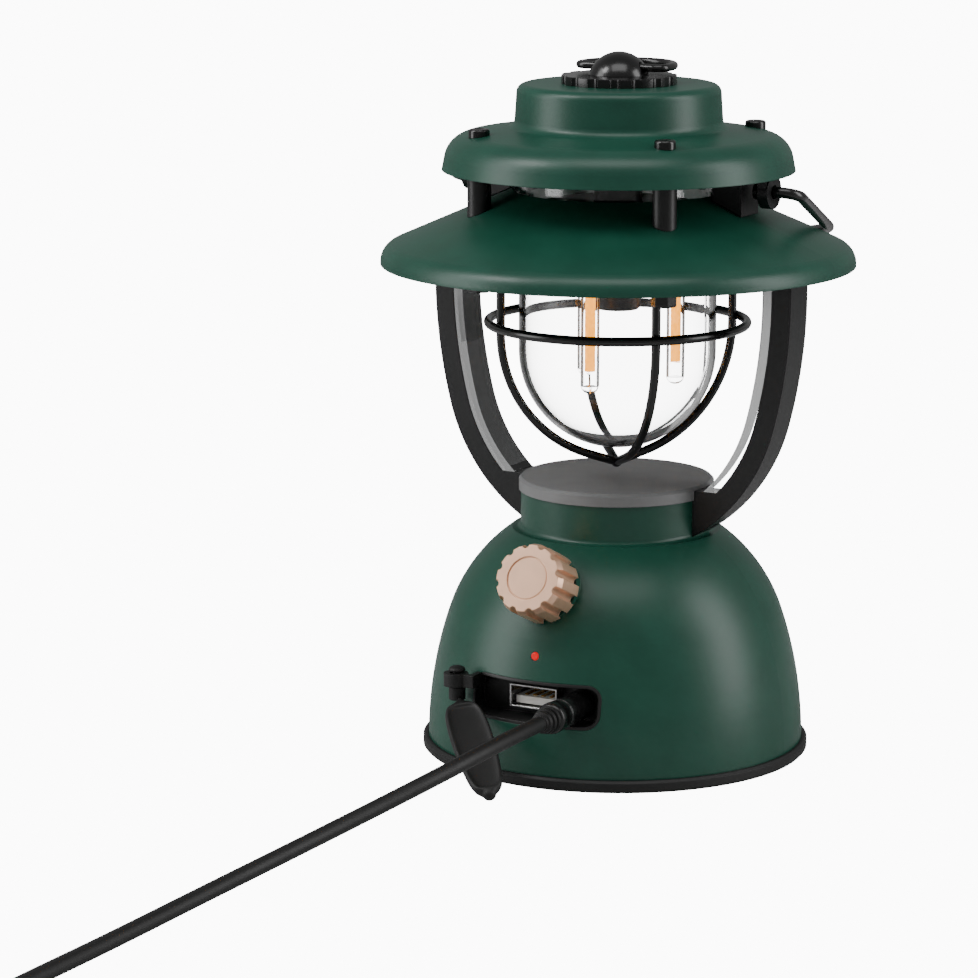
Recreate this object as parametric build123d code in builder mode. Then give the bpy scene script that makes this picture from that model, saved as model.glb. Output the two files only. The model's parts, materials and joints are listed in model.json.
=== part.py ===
from build123d import *
import os
from math import asin, atan2, cos, degrees, radians, sin, sqrt, tan

# Camping lantern: a domed base with a battery, two curved arms, a conical brim, a hood
# with a chimney, and a caged glass globe with three filament tubes between them.
# Millimetres, +Z up, the floor at Z = 0, the vertical axis at X = Y = 0.
# The control knob and the ports face -Y, and the arms stand at +X and -X.

os.makedirs("parts", exist_ok=True)

# ---------------------------------------------------------------- overall sizes
base_radius = 48.1           # base shell at its foot
base_height = 57.2           # floor to the top of the dome
neck_radius = 24.4
neck_height = 9.8
lamp_opening = 54.1          # neck cap to the low edge of the brim
brim_radius = 60.0
brim_rise = 18.6             # low edge of the brim to its crown
brim_hole = 26.5             # radius of the hole that the globe passes through
brim_slope = 0.44            # fall of the cone for each millimetre outwards
brim_round = 5.0             # rounding of the brim's rim
hood_gap = 5.1               # crown of the brim to the low edge of the hood
hood_radius = 44.5
hood_skirt = 8.1             # low edge of the hood to its shoulder at the skirt
hood_round = 7.0             # rounding between skirt and shoulder
hood_flare = 1.6             # how much wider the skirt is at its low edge
hood_slope = 0.15
chimney_radius = 25.6
chimney_taper = 0.7
hood_height = 21.5
shell_wall = 1.6
sheet = 1.5                  # wall of the brim and the hood

# ---------------------------------------------------------------- shared clearances
seat_gap = 0.25              # flat piece against a cone that it is fixed to
swing_gap = 0.3              # around every wire or shaft that turns
hole_gap = 0.2               # around a fixed screw

# ---------------------------------------------------------------- height stack
foot_height = 3.1
shell_bottom = 2.6
neck_top = base_height + neck_height
cap_rim = 3.3
cap_crown = 0.7
cap_top = neck_top + cap_rim + cap_crown
brim_edge = cap_top + lamp_opening
brim_crown = brim_edge + brim_rise
hood_edge = brim_crown + hood_gap
hood_top = hood_edge + hood_height
FRONT = -90                  # direction of the ports, as an angle from +X
SIDES = {"right": 1, "left": -1}


def save(piece, name):
    """Label the piece and write it as its own STEP file."""
    piece.part.label = name
    export_step(piece.part, "parts/" + name + ".step")


def upright(angle):
    """Vertical plane through the lantern's axis, its own X pointing along angle."""
    a = radians(angle)
    return Plane(origin=(0, 0, 0), x_dir=(cos(a), sin(a), 0), z_dir=(sin(a), -cos(a), 0))


def brim_over(r):
    """Height of the brim's upper face at radius r."""
    return brim_crown - brim_slope * (r - brim_hole)


def brim_under(r):
    """Height of the brim's lower face at radius r."""
    return brim_over(r) - sheet * sqrt(1 + brim_slope**2)


def hood_over(r):
    """Height of the hood's shoulder at radius r."""
    return hood_edge + hood_skirt + hood_slope * (hood_radius - r)


def hood_under(r):
    """Height of the inside of the hood's shoulder at radius r."""
    return hood_over(r) - sheet * sqrt(1 + hood_slope**2)


# ---------------------------------------------------------------- dome of the base
# The dome's outline is two tangent arcs, a flat side arc and a rounder shoulder arc
# that ends at the foot of the neck.
side_arc = 104.0
shoulder_drop = 21.2
neck_step = 2.2              # level ledge round the foot of the neck
neck_round = 1.1
side_centre = (base_radius - side_arc, shell_bottom)
side_turn = degrees(asin((base_height - shoulder_drop - shell_bottom) / side_arc))
shoulder_start = (
    side_centre[0] + side_arc * cos(radians(side_turn)),
    side_centre[1] + side_arc * sin(radians(side_turn)),
)
shoulder_end = (neck_radius + neck_step, base_height)
chord_x = shoulder_start[0] - shoulder_end[0]
chord_z = shoulder_end[1] - shoulder_start[1]
chord = sqrt(chord_x**2 + chord_z**2)
shoulder_turn = 2 * (degrees(atan2(chord_x, chord_z)) - side_turn)
shoulder_arc = chord / (2 * sin(radians(shoulder_turn / 2)))
shoulder_centre = (
    shoulder_start[0] - shoulder_arc * cos(radians(side_turn)),
    shoulder_start[1] - shoulder_arc * sin(radians(side_turn)),
)


def dome_radius(z, inset=0.0):
    """Radius of the dome, moved inwards by inset, at height z."""
    if z <= shoulder_start[1]:
        return side_centre[0] + sqrt((side_arc - inset) ** 2 - (z - side_centre[1]) ** 2)
    reach = (shoulder_arc - inset) ** 2 - (z - shoulder_centre[1]) ** 2
    return shoulder_centre[0] + sqrt(reach)


def dome_arcs(inset):
    """Draw the dome's outline, moved inwards by inset, from the foot to the neck."""
    low = CenterArc(side_centre, side_arc - inset, 0, side_turn)
    high = CenterArc(shoulder_centre, shoulder_arc - inset, side_turn, shoulder_turn)
    return low, high


with BuildPart() as dome_volume:
    with BuildSketch(Plane.XZ):
        with BuildLine():
            low, high = dome_arcs(0)
            Polyline(high @ 1, (0, base_height), (0, shell_bottom), low @ 0)
        make_face()
    revolve(axis=Axis.Z)

# ---------------------------------------------------------------- port recess sizes
recess_width = 36.0
recess_height = 11.0
recess_z = 20.8
recess_corner = 3.8
recess_floor = 38.5          # distance of the tray's floor from the lantern's axis
tray_wall = 0.8
tray_gap = 0.05
recess_mid = (0, recess_z)

# ---------------------------------------------------------------- control knob placing
knob_tilt = 24.0
knob_radius = 9.1
knob_length = 10.8
knob_travel = 0.5
knob_z = 48.5
knob_stand = 2.35            # back of the knob off the dome, level with its middle
knob_foot = 0.9              # gap between the knob and its boss on the shell
knob_reach = dome_radius(knob_z) + knob_stand
knob_axis = Vector(0, -cos(radians(knob_tilt)), sin(radians(knob_tilt)))
knob_plane = Plane(origin=(0, -knob_reach, knob_z), x_dir=(1, 0, 0), z_dir=knob_axis)
shaft_radius = 3.0
boss_radius = 8.0
boss_depth = 12.0

# ---------------------------------------------------------------- screws and posts
post_circle = 36.4           # radius of the circle that the four posts stand on
post_radius = 3.0
bolt_radius = 1.5
post_places = PolarLocations(post_circle, 4, start_angle=45)
eye_thick = 1.5
eye_top = brim_edge - 1.1    # upper face of the guard's eyelets
arm_half = 4.9               # half the width of an arm
arm_thick = 5.3
arm_screw_radius = 1.25
neck_screw_z = neck_top - 6.6

# ---------------------------------------------------------------- base shell
indicator_z = 32.2
indicator_radius = 1.0
with BuildPart() as base_shell:
    with BuildSketch(Plane.XZ):
        with BuildLine():
            low, high = dome_arcs(0)
            low_in, high_in = dome_arcs(shell_wall)
            bore = neck_radius - shell_wall
            FilletPolyline(high @ 1, (neck_radius, base_height), (neck_radius, neck_top),
                           radius=neck_round)
            Polyline((neck_radius, neck_top), (bore, neck_top), (bore, (high_in @ 1).Y),
                     high_in @ 1)
            Line(low @ 0, low_in @ 0)
        make_face()
    revolve(axis=Axis.Z)
    # Boss under the control knob, trimmed so that it stops inside the wall.
    with BuildSketch(knob_plane.offset(-knob_foot)):
        Circle(boss_radius)
    extrude(amount=-boss_depth)
    with BuildSketch(Plane.XZ):
        with BuildLine():
            low_in, high_in = dome_arcs(shell_wall)
            Polyline(high_in @ 1, (0, (high_in @ 1).Y), (0, shell_bottom), low_in @ 0)
        make_face()
    revolve(axis=Axis.Z, mode=Mode.SUBTRACT)
    with BuildSketch(knob_plane):
        Circle(shaft_radius + swing_gap)
    extrude(amount=-boss_depth, mode=Mode.SUBTRACT)
    # Port recess, indicator hole and the holes of the arm screws.
    with BuildSketch(Plane.XZ.offset(recess_floor - 6)):
        with Locations(recess_mid):
            RectangleRounded(recess_width, recess_height, recess_corner)
    extrude(amount=base_radius, mode=Mode.SUBTRACT)
    with BuildSketch(Plane.XZ.offset(recess_floor)):
        with Locations((0, indicator_z)):
            Circle(indicator_radius + tray_gap)
    extrude(amount=base_radius, mode=Mode.SUBTRACT)
    with BuildSketch(Plane.YZ):
        with Locations((0, neck_screw_z)):
            Circle(arm_screw_radius + hole_gap)
    extrude(amount=neck_radius + 5, both=True, mode=Mode.SUBTRACT)
save(base_shell, "base_shell")

# ---------------------------------------------------------------- foot ring and bottom
foot_radius = base_radius + 1.4
foot_inner = 39.5
foot_round = 0.6
with BuildPart() as foot_ring:
    with BuildSketch(Plane.XZ):
        with BuildLine():
            lip = base_radius + tray_gap
            Polyline((foot_inner, 0), (foot_radius - foot_round, 0), (foot_radius, foot_round),
                     (foot_radius, foot_height - foot_round),
                     (foot_radius - foot_round, foot_height),
                     (lip, foot_height), (lip, shell_bottom), (foot_inner, shell_bottom),
                     close=True)
        make_face()
    revolve(axis=Axis.Z)
save(foot_ring, "foot_ring")

cover_radius = base_radius - shell_wall - 0.1
cover_thick = 1.8
cover_top = shell_bottom + cover_thick
insert_radius = 4.5
insert_length = 5.0
tripod_bore = 2.6
socket_wall = 2.2
socket_roof = 1.4
screw_circle = 35.0
pillar_radius = 3.0
cover_screw_radius = 1.25
screw_places = PolarLocations(screw_circle, 4, start_angle=45)
with BuildPart() as bottom_cover:
    with BuildSketch(Plane.XY.offset(shell_bottom)):
        Circle(cover_radius)
    extrude(amount=cover_thick)
    with BuildSketch(Plane.XY):
        Circle(insert_radius + socket_wall)
    extrude(amount=insert_length + socket_roof)
    with BuildSketch(Plane.XY):
        Circle(insert_radius)
    extrude(amount=insert_length, mode=Mode.SUBTRACT)
    with BuildSketch(Plane.XY.offset(shell_bottom)):
        with screw_places:
            Circle(cover_screw_radius + hole_gap)
    extrude(amount=cover_thick, mode=Mode.SUBTRACT)
save(bottom_cover, "bottom_cover")

with BuildPart() as tripod_insert:
    with BuildSketch(Plane.XY):
        Circle(insert_radius)
        Circle(tripod_bore, mode=Mode.SUBTRACT)
    extrude(amount=insert_length)
save(tripod_insert, "tripod_insert")

screw_head_radius = 2.4
screw_head = 1.2
screw_socket = 0.9           # across the flats of the hex socket, halved
screw_grip = 9.0
with BuildPart() as bottom_screws:
    with BuildSketch(Plane.XY.offset(shell_bottom - screw_head)):
        with screw_places:
            Circle(screw_head_radius)
    extrude(amount=screw_head)
    with BuildSketch(Plane.XY.offset(shell_bottom)):
        with screw_places:
            Circle(cover_screw_radius)
    extrude(amount=screw_grip)
    with BuildSketch(Plane.XY.offset(shell_bottom - screw_head)):
        with screw_places:
            RegularPolygon(screw_socket, 6)
    extrude(amount=screw_head / 2, mode=Mode.SUBTRACT)
save(bottom_screws, "bottom_screws")

# ---------------------------------------------------------------- battery
cell_radius = 9.25
cell_length = 64.0
cell_gap = 0.5
cell_mid_y = 1.5
plate_thick = 1.6
cell_z = cover_top + plate_thick + cell_radius + 0.3
cell_pitch = 2 * cell_radius + cell_gap
cell_rise = cell_pitch * sqrt(3) / 2
cell_spots = [
    (cell_mid_y - cell_pitch / 2, cell_z),
    (cell_mid_y + cell_pitch / 2, cell_z),
    (cell_mid_y, cell_z + cell_rise),
]
tip_radius = 3.0
tip_height = 1.0
with BuildPart() as battery_cells:
    with BuildSketch(Plane.YZ.offset(-cell_length / 2)):
        with Locations(cell_spots):
            Circle(cell_radius)
    extrude(amount=cell_length)
    with BuildSketch(Plane.YZ.offset(cell_length / 2)):
        with Locations(cell_spots):
            Circle(tip_radius)
    extrude(amount=tip_height)
save(battery_cells, "battery_cells")

# The cradle: a floor on the cover, an end wall at each end of the cells, and four
# pillars that take the cover's screws.
cradle_half = cell_length / 2 + tip_height + 0.2
end_wall = 1.5
end_wall_width = 24.0
end_wall_height = 16.0
with BuildPart() as battery_cradle:
    with BuildSketch(Plane.XY.offset(cover_top)):
        with Locations((0, cell_mid_y)):
            Rectangle(2 * cradle_half, 30)
        Rectangle(2 * 22, 2 * 27)
        with screw_places:
            Circle(pillar_radius)
        Circle(insert_radius + socket_wall + hole_gap, mode=Mode.SUBTRACT)
    extrude(amount=plate_thick)
    with BuildSketch(Plane.XY.offset(cover_top)):
        with Locations((cradle_half + end_wall / 2, cell_mid_y),
                       (-cradle_half - end_wall / 2, cell_mid_y)):
            Rectangle(end_wall, end_wall_width)
    extrude(amount=end_wall_height)
    with BuildSketch(Plane.XY.offset(cover_top)):
        with screw_places:
            Circle(pillar_radius)
    extrude(amount=screw_grip)
    with BuildSketch(Plane.XY.offset(cover_top)):
        with screw_places:
            Circle(cover_screw_radius + 0.05)
    extrude(amount=screw_grip - 0.8, mode=Mode.SUBTRACT)
save(battery_cradle, "battery_cradle")

# ---------------------------------------------------------------- ports
with BuildPart() as port_tray:
    with BuildSketch(Plane.XZ.offset(recess_floor - tray_wall)):
        with Locations(recess_mid):
            RectangleRounded(recess_width - 2 * tray_gap, recess_height - 2 * tray_gap,
                             recess_corner - tray_gap)
    extrude(amount=base_radius)
    with BuildSketch(Plane.XZ.offset(recess_floor)):
        with Locations(recess_mid):
            RectangleRounded(recess_width - 2 * tray_wall, recess_height - 2 * tray_wall,
                             recess_corner - tray_wall)
    extrude(amount=base_radius, mode=Mode.SUBTRACT)
    add(dome_volume.part, mode=Mode.INTERSECT)
    # Openings in the tray's floor for the two sockets.
    usb_x = -1.2
    usb_width = 13.2
    usb_height = 5.8
    usb_z = recess_z + 0.4
    jack_x = 10.8
    jack_z = recess_z - 0.4
    jack_radius = 2.8
    with BuildSketch(Plane.XZ.offset(recess_floor - 2 * tray_wall)):
        with Locations((usb_x, usb_z)):
            Rectangle(usb_width, usb_height)
        with Locations((jack_x, jack_z)):
            Circle(jack_radius)
    extrude(amount=3 * tray_wall, mode=Mode.SUBTRACT)
save(port_tray, "port_tray")

usb_wall = 0.4
usb_front = recess_floor + 4.0
usb_length = 14.0
with BuildPart() as usb_shell:
    with BuildSketch(Plane.XZ.offset(usb_front - usb_length)):
        with Locations((usb_x, usb_z)):
            Rectangle(usb_width, usb_height)
            Rectangle(usb_width - 2 * usb_wall, usb_height - 2 * usb_wall,
                      mode=Mode.SUBTRACT)
    extrude(amount=usb_length)
    with BuildSketch(Plane.XZ.offset(usb_front - usb_length)):
        with Locations((usb_x, usb_z)):
            Rectangle(usb_width, usb_height)
    extrude(amount=usb_wall)
save(usb_shell, "usb_shell")

tongue_thick = 1.9
tongue_rise = 0.35           # gap under the tongue
tongue_z = usb_z - usb_height / 2 + usb_wall + tongue_rise + tongue_thick / 2
tongue_length = usb_length - 2.0
tongue_width = 11.1
contact_pitch = 2.3
contact_thick = 0.2
with BuildPart() as usb_tongue:
    with BuildSketch(Plane.XZ.offset(usb_front - usb_length + usb_wall)):
        with Locations((usb_x, tongue_z)):
            Rectangle(tongue_width, tongue_thick)
    extrude(amount=tongue_length)
    with BuildSketch(Plane.XZ.offset(usb_front - usb_length + usb_wall)):
        with Locations((usb_x, usb_z)):
            Rectangle(usb_width - 2 * usb_wall, usb_height - 2 * usb_wall)
    extrude(amount=1.5)
save(usb_tongue, "usb_tongue")

with BuildPart() as usb_contacts:
    with BuildSketch(Plane.XZ.offset(usb_front - usb_length + usb_wall + 1.5)):
        with Locations((usb_x, tongue_z + tongue_thick / 2 + contact_thick / 2)):
            with GridLocations(contact_pitch, 1, 4, 1):
                Rectangle(1.0, contact_thick)
    extrude(amount=tongue_length - 3.0)
save(usb_contacts, "usb_contacts")

board_thick = 1.6
board_top = usb_z - usb_height / 2
board_half = 21.0
board_front = recess_floor - tray_wall - 0.4
board_back = board_front - 15.5
chip_height = 1.2
with BuildPart() as main_board:
    with BuildSketch(Plane.XY.offset(board_top - board_thick)):
        with Locations((0, -(board_front + board_back) / 2)):
            Rectangle(2 * board_half, board_front - board_back)
    extrude(amount=board_thick)
    with BuildSketch(Plane.XY.offset(board_top)):
        with Locations((-16, -30)):
            Rectangle(5, 5)
        with Locations((-16, -24.5)):
            Rectangle(3, 2)
    extrude(amount=chip_height)
save(main_board, "main_board")

jack_side = 5.4
jack_depth = 11.0
jack_front = recess_floor - tray_wall
with BuildPart() as charge_jack:
    with BuildSketch(Plane.XZ.offset(jack_front - jack_depth)):
        with Locations((jack_x, (board_top + jack_z + jack_side / 2) / 2)):
            Rectangle(2 * jack_side * 0.8, jack_z + jack_side / 2 - board_top)
        with Locations((jack_x, jack_z)):
            Circle(jack_radius - 0.6, mode=Mode.SUBTRACT)
    extrude(amount=jack_depth)
save(charge_jack, "charge_jack")

lens_out = 0.25
with BuildPart() as indicator_lens:
    with BuildSketch(Plane.XZ.offset(dome_radius(indicator_z) - 3.5)):
        with Locations((0, indicator_z)):
            Circle(indicator_radius)
    extrude(amount=3.5 + lens_out)
    fillet(indicator_lens.edges().group_by(Axis.Y)[0], 0.3)
save(indicator_lens, "indicator_lens")

# ---------------------------------------------------------------- control knob
flute_count = 12
flute_radius = 1.05
flute_circle = knob_radius - 0.35
face_bevel = 0.7
face_bevel_depth = 1.9       # the bevel runs this far down each land
groove_radius = 5.5
groove_width = 0.35
groove_depth = 0.35
dish_depth = 0.2
shaft_depth = 7.8            # how far the shaft reaches into the knob
shaft_back = 13.2            # how far the shaft reaches behind the knob
with BuildPart() as control_knob:
    with BuildSketch(knob_plane):
        Circle(knob_radius)
    extrude(amount=knob_length)
    chamfer(control_knob.edges().filter_by(GeomType.CIRCLE).sort_by(
        lambda edge: edge.center().dot(knob_axis))[-1], face_bevel, face_bevel_depth,
        reference=control_knob.faces().sort_by(lambda face: face.center().dot(knob_axis))[-1])
    with BuildSketch(knob_plane):
        with PolarLocations(flute_circle, flute_count, start_angle=15):
            Circle(flute_radius)
        with PolarLocations(flute_circle + flute_radius, flute_count, start_angle=15):
            Rectangle(2 * flute_radius, 2 * flute_radius)
    extrude(amount=knob_length, mode=Mode.SUBTRACT)
    with BuildSketch(knob_plane.offset(knob_length - groove_depth)):
        Circle(groove_radius)
        Circle(groove_radius - groove_width, mode=Mode.SUBTRACT)
    extrude(amount=groove_depth, mode=Mode.SUBTRACT)
    with BuildSketch(knob_plane.offset(knob_length - dish_depth)):
        Circle(groove_radius - groove_width)
    extrude(amount=dish_depth, mode=Mode.SUBTRACT)
    with BuildSketch(knob_plane):
        Circle(shaft_radius)
    extrude(amount=shaft_depth, mode=Mode.SUBTRACT)
save(control_knob, "control_knob")

with BuildPart() as knob_shaft:
    with BuildSketch(knob_plane.offset(-shaft_back)):
        Circle(shaft_radius)
    extrude(amount=shaft_back + shaft_depth)
save(knob_shaft, "knob_shaft")

plunger_thick = 0.8
plunger_radius = 2.8
with BuildPart() as encoder_plunger:
    with BuildSketch(knob_plane.offset(-shaft_back - swing_gap - plunger_thick)):
        Circle(plunger_radius)
    extrude(amount=plunger_thick)
save(encoder_plunger, "encoder_plunger")

encoder_side = 12.0
encoder_front = 7.0          # depth of the housing's front face behind the knob
chamber = plunger_thick + 3 * swing_gap + knob_travel
encoder_depth = shaft_back - encoder_front + chamber + 1.0
bush_radius = 4.6
with BuildPart() as encoder:
    with BuildSketch(knob_plane.offset(-encoder_front - encoder_depth)):
        Rectangle(encoder_side, encoder_side)
    extrude(amount=encoder_depth)
    with BuildSketch(knob_plane.offset(-encoder_front)):
        Circle(bush_radius)
    extrude(amount=encoder_front - 2.6)
    add(base_shell.part, mode=Mode.SUBTRACT)
    with BuildSketch(knob_plane.offset(-shaft_back - chamber)):
        Circle(shaft_radius + swing_gap)
    extrude(amount=shaft_back + chamber, mode=Mode.SUBTRACT)
save(encoder, "encoder")

# ---------------------------------------------------------------- neck cap
cap_radius = neck_radius + 0.5
cap_bevel = 0.7
spigot_radius = neck_radius - shell_wall - 0.1
spigot_depth = 3.0
spigot_wall = 1.8
with BuildPart() as neck_cap:
    with BuildSketch(Plane.XZ):
        with BuildLine():
            edge_z = neck_top + cap_rim
            Polyline((0, neck_top), (spigot_radius - spigot_wall, neck_top),
                     (spigot_radius - spigot_wall, neck_top - spigot_depth),
                     (spigot_radius, neck_top - spigot_depth), (spigot_radius, neck_top),
                     (cap_radius, neck_top), (cap_radius, edge_z - cap_bevel),
                     (cap_radius - cap_bevel, edge_z), (0, cap_top), close=True)
        make_face()
    revolve(axis=Axis.Z)
save(neck_cap, "neck_cap")

# ---------------------------------------------------------------- arms and light guides
# An arm's outer line: an upper arc that stands upright at the top, then a tighter arc
# in to the foot on the neck. Its inner line and the light guide run parallel to it.
arm_reach = 50.3             # outer face of an arm at its top
arm_upright = brim_edge - 5.1
upper_arc = 130.0
upper_turn = 15.0
foot_rise = 1.6              # foot of an arm above the dome
guide_thick = 2.5
guide_half = 4.7
arm_side = Vector(arm_reach - upper_arc, arm_upright)
bend = radians(upper_turn)
arm_knee = (arm_side.X + upper_arc * cos(bend), arm_side.Y - upper_arc * sin(bend))
arm_foot = (neck_radius + 1.6, base_height + foot_rise)
knee_x = arm_knee[0] - arm_foot[0]
knee_z = arm_knee[1] - arm_foot[1]
knee_chord = sqrt(knee_x**2 + knee_z**2)
lower_turn = 2 * (degrees(atan2(knee_x, knee_z)) - upper_turn)
lower_arc = knee_chord / (2 * sin(radians(lower_turn / 2)))
lower_centre = Vector(arm_knee[0] - lower_arc * cos(bend),
                      arm_knee[1] + lower_arc * sin(bend))
tongue_reach = 30.0          # inner end of the tongue under the brim
tongue_thick_arm = 3.0


def band(near, far, top_near, top_far):
    """Draw the strip between the arm's line moved in by near and by far."""
    spread = lower_turn + 12
    out_high = CenterArc(arm_side, upper_arc - near, 0, -upper_turn)
    out_low = CenterArc(lower_centre, lower_arc - near, -upper_turn, -spread)
    in_high = CenterArc(arm_side, upper_arc - far, 0, -upper_turn)
    in_low = CenterArc(lower_centre, lower_arc - far, -upper_turn, -spread)
    Line(out_low @ 1, in_low @ 1)
    Polyline(out_high @ 0, ((out_high @ 0).X, top_near), ((in_high @ 0).X, top_far),
             in_high @ 0)


with BuildPart() as base_volume:
    with BuildSketch(Plane.XZ):
        with BuildLine():
            low, high = dome_arcs(0)
            Polyline(high @ 1, (neck_radius, base_height), (neck_radius, neck_top),
                     (cap_radius, neck_top), (cap_radius, cap_top), (0, cap_top),
                     (0, shell_bottom), low @ 0)
        make_face()
    revolve(axis=Axis.Z)

guide_end = neck_top + cap_rim - 0.9     # low end of the light guides


def arm_inner_x(z):
    """Distance of an arm's inner face from the axis at height z, near its foot."""
    return lower_centre.X + sqrt((lower_arc - arm_thick) ** 2 - (lower_centre.Y - z) ** 2)


arm_screw_x = 34.0
guide_gap = 0.05
for side, sign in SIDES.items():
    wall = Plane(origin=(0, 0, 0), x_dir=(sign, 0, 0), z_dir=(0, -sign, 0))
    with BuildPart() as arm:
        with BuildSketch(wall):
            top_out = brim_under(arm_reach) - seat_gap
            top_in = brim_under(arm_reach - arm_thick) - seat_gap
            with BuildLine():
                band(0, arm_thick, top_out, top_in)
            make_face()
            with BuildLine():
                mid = arm_reach - arm_thick / 2
                Polyline((mid, brim_under(mid) - seat_gap),
                         (tongue_reach, brim_under(tongue_reach) - seat_gap),
                         (tongue_reach, brim_under(tongue_reach) - tongue_thick_arm),
                         (mid, brim_under(mid) - tongue_thick_arm), close=True)
            make_face()
            # The foot thickens inwards to meet the neck below the end of the light guide.
            with BuildLine():
                Polyline((neck_radius - shell_wall, arm_foot[1]), arm_foot,
                         (arm_inner_x(guide_end) + 1, guide_end),
                         (neck_radius - shell_wall, guide_end), close=True)
            make_face()
        extrude(amount=arm_half, both=True)
        add(base_volume.part, mode=Mode.SUBTRACT)
        with BuildSketch(Plane.XY.offset(brim_edge - 5)):
            with Locations((sign * arm_screw_x, 0)):
                Circle(arm_screw_radius + hole_gap)
        extrude(amount=brim_rise + 5, mode=Mode.SUBTRACT)
        with BuildSketch(Plane.YZ):
            with Locations((0, neck_screw_z)):
                Circle(arm_screw_radius)
        extrude(amount=sign * (neck_radius + 4), mode=Mode.SUBTRACT)
    save(arm, side + "_arm")
    with BuildPart() as light_guide:
        with BuildSketch(wall):
            near = arm_thick + guide_gap
            top = brim_under(arm_reach - near) - tongue_thick_arm - 0.1
            with BuildLine():
                band(near, near + guide_thick, top, top)
            make_face()
        extrude(amount=guide_half, both=True)
        with BuildSketch(Plane.XY.offset(guide_end + guide_gap)):
            Rectangle(2 * arm_reach, 2 * arm_reach)
        extrude(amount=-guide_end, mode=Mode.SUBTRACT)
        add(base_volume.part, mode=Mode.SUBTRACT)
    save(light_guide, side + "_light_guide")
    with BuildPart() as hood_block:
        block_in = 28.5
        block_out = 36.5
        with BuildSketch(wall):
            with BuildLine():
                Polyline((block_in, brim_over(block_in) + hole_gap / 4),
                         (block_out, brim_over(block_out) + hole_gap / 4),
                         (block_out, hood_under(block_out) - seat_gap),
                         (block_in, hood_under(block_in) - seat_gap), close=True)
            make_face()
        extrude(amount=arm_half, both=True)
        with BuildSketch(Plane.XY.offset(brim_edge)):
            with Locations((sign * arm_screw_x, 0)):
                Circle(arm_screw_radius)
        extrude(amount=brim_rise + 4, mode=Mode.SUBTRACT)
    save(hood_block, side + "_hood_block")

arm_head = 2.4
with BuildPart() as arm_screws:
    head_top = brim_under(arm_screw_x + arm_head) - tongue_thick_arm
    with BuildSketch(Plane.XY.offset(head_top - 1.6)):
        with Locations((arm_screw_x, 0), (-arm_screw_x, 0)):
            Circle(arm_head)
    extrude(amount=1.6)
    with BuildSketch(Plane.XY.offset(head_top)):
        with Locations((arm_screw_x, 0), (-arm_screw_x, 0)):
            Circle(arm_screw_radius)
    extrude(amount=brim_edge + brim_rise + 3 - head_top)
save(arm_screws, "arm_screws")

neck_bore = neck_radius - shell_wall
with BuildPart() as neck_screws:
    for sign in SIDES.values():
        with BuildSketch(Plane.YZ.offset(sign * (neck_bore - 2.5))):
            with Locations((0, neck_screw_z)):
                Circle(arm_screw_radius)
        extrude(amount=sign * 6.0)
        with BuildSketch(Plane.YZ.offset(sign * (neck_bore - 2.5))):
            with Locations((0, neck_screw_z)):
                Circle(2.3)
        extrude(amount=sign * 2.2)
save(neck_screws, "neck_screws")

# ---------------------------------------------------------------- brim
with BuildPart() as brim:
    with BuildSketch(Plane.XZ):
        with BuildLine():
            outer = FilletPolyline((brim_hole, brim_crown),
                                   (brim_radius, brim_over(brim_radius)),
                                   (brim_radius, brim_edge), radius=brim_round)
            turn_in = brim_radius - sheet
            inner = FilletPolyline((turn_in, brim_edge), (turn_in, brim_under(turn_in)),
                                   (brim_hole, brim_under(brim_hole)),
                                   radius=brim_round - sheet)
            Line(outer @ 1, inner @ 0)
            Line(inner @ 1, outer @ 0)
        make_face()
    revolve(axis=Axis.Z)
    with BuildSketch(Plane.XY.offset(brim_edge)):
        with post_places:
            Circle(bolt_radius + hole_gap)
        with Locations((arm_screw_x, 0), (-arm_screw_x, 0)):
            Circle(arm_screw_radius + hole_gap)
    extrude(amount=brim_rise + 5, mode=Mode.SUBTRACT)
save(brim, "brim")

# ---------------------------------------------------------------- hood
stud_radius = 2.5
chimney_foot = chimney_radius + chimney_taper
chimney_round = 2.2
with BuildPart() as hood:
    with BuildSketch(Plane.XZ):
        with BuildLine():
            bore = stud_radius + hole_gap
            skirt_top = hood_radius - hood_flare
            outer = FilletPolyline((bore, hood_top), (chimney_radius, hood_top),
                                   (chimney_foot, hood_over(chimney_foot)),
                                   (skirt_top, hood_over(skirt_top)),
                                   (hood_radius, hood_edge),
                                   radius=[chimney_round, chimney_round, hood_round])
            turn_in = skirt_top - sheet
            foot_in = chimney_foot - sheet
            inner = FilletPolyline((hood_radius - sheet, hood_edge),
                                   (turn_in, hood_under(turn_in)),
                                   (foot_in, hood_under(foot_in)),
                                   (chimney_radius - sheet, hood_top - sheet),
                                   (bore, hood_top - sheet),
                                   radius=[hood_round - sheet, chimney_round, 0.6])
            Line(outer @ 1, inner @ 0)
            Line(inner @ 1, outer @ 0)
        make_face()
    revolve(axis=Axis.Z)
    with BuildSketch(Plane.XY.offset(hood_edge)):
        with post_places:
            Circle(bolt_radius + hole_gap)
    extrude(amount=hood_height, mode=Mode.SUBTRACT)
save(hood, "hood")

# ---------------------------------------------------------------- posts, bolts and nuts
# Solids of revolution that trim the posts to the slopes of the brim and the hood.
trim_low = 20.0
trim_high = 44.0


def trim(face, end_z):
    """Solid between the sloping face, a height by radius, and the level end_z."""
    with BuildPart() as region:
        with BuildSketch(Plane.XZ):
            with BuildLine():
                Polyline((trim_low, face(trim_low)), (trim_high, face(trim_high)),
                         (trim_high, end_z), (trim_low, end_z), close=True)
            make_face()
        revolve(axis=Axis.Z)
    return region.part


below_brim_top = trim(brim_over, brim_edge - 20)
above_brim_underside = trim(brim_under, hood_top)
above_hood_underside = trim(hood_under, hood_top + 20)
below_hood_top = trim(hood_over, hood_edge)

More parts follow.
